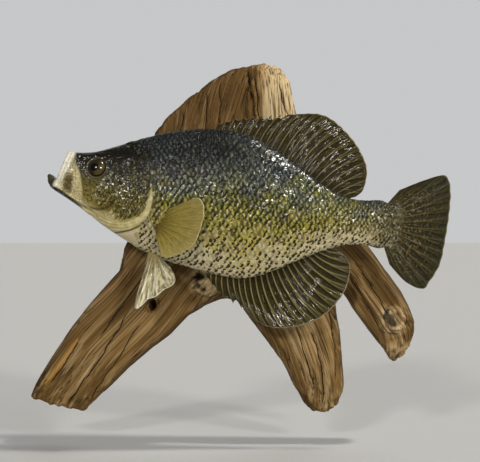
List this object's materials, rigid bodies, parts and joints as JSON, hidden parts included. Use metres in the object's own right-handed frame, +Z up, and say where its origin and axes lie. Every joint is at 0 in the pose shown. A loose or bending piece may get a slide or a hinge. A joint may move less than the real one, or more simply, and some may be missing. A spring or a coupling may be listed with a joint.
{
  "type": "mounted fish on driftwood",
  "caption": "Life-size mounted black crappie with open mouth and spread fins, fixed by its far flank to a branched piece of weathered driftwood that hangs on a wall.",
  "frame": {"origin": "on the flat sawn back of the driftwood, behind the middle of the fish, on the wall plane", "axes": "+X toward the fish's tail along the wall, +Y out of the wood's back into the wall, +Z up"},
  "size_m": [0.411, 0.1182, 0.348],
  "materials": {
    "weathered_wood": "dry, weathered grey-tan, cracked along the grain",
    "zinc_steel": "zinc plated, satin",
    "flank_skin": "scaled, dark blue-grey back, olive flank and cream belly with dark flecks under clear gloss",
    "head_skin": "olive-gold skin under clear gloss",
    "lip_skin": "pale cream skin under clear gloss",
    "eye_glass": "polished dark brown glass eye, opaque",
    "dark_fin": "dark olive fin webs with paler rays under clear gloss",
    "amber_fin": "amber fin under clear gloss",
    "pale_fin": "cream white fin under clear gloss"
  },
  "bodies": {
    "root": {"driftwood": "weathered_wood", "hanger": "zinc_steel", "hanger_screw_1": "zinc_steel", "hanger_screw_2": "zinc_steel", "head": "head_skin", "upper_jaw": "lip_skin", "lower_jaw": "lip_skin", "gill_cover_left": "head_skin", "gill_cover_right": "head_skin", "trunk": "flank_skin", "tail": "flank_skin", "eye_left": "eye_glass", "eye_right": "eye_glass", "dorsal_fin": "dark_fin", "anal_fin": "dark_fin", "caudal_fin": "dark_fin", "pectoral_fin_left": "amber_fin", "pectoral_fin_right": "amber_fin", "pelvic_fin_left": "pale_fin", "pelvic_fin_right": "pale_fin"}
  },
  "joints": []
}
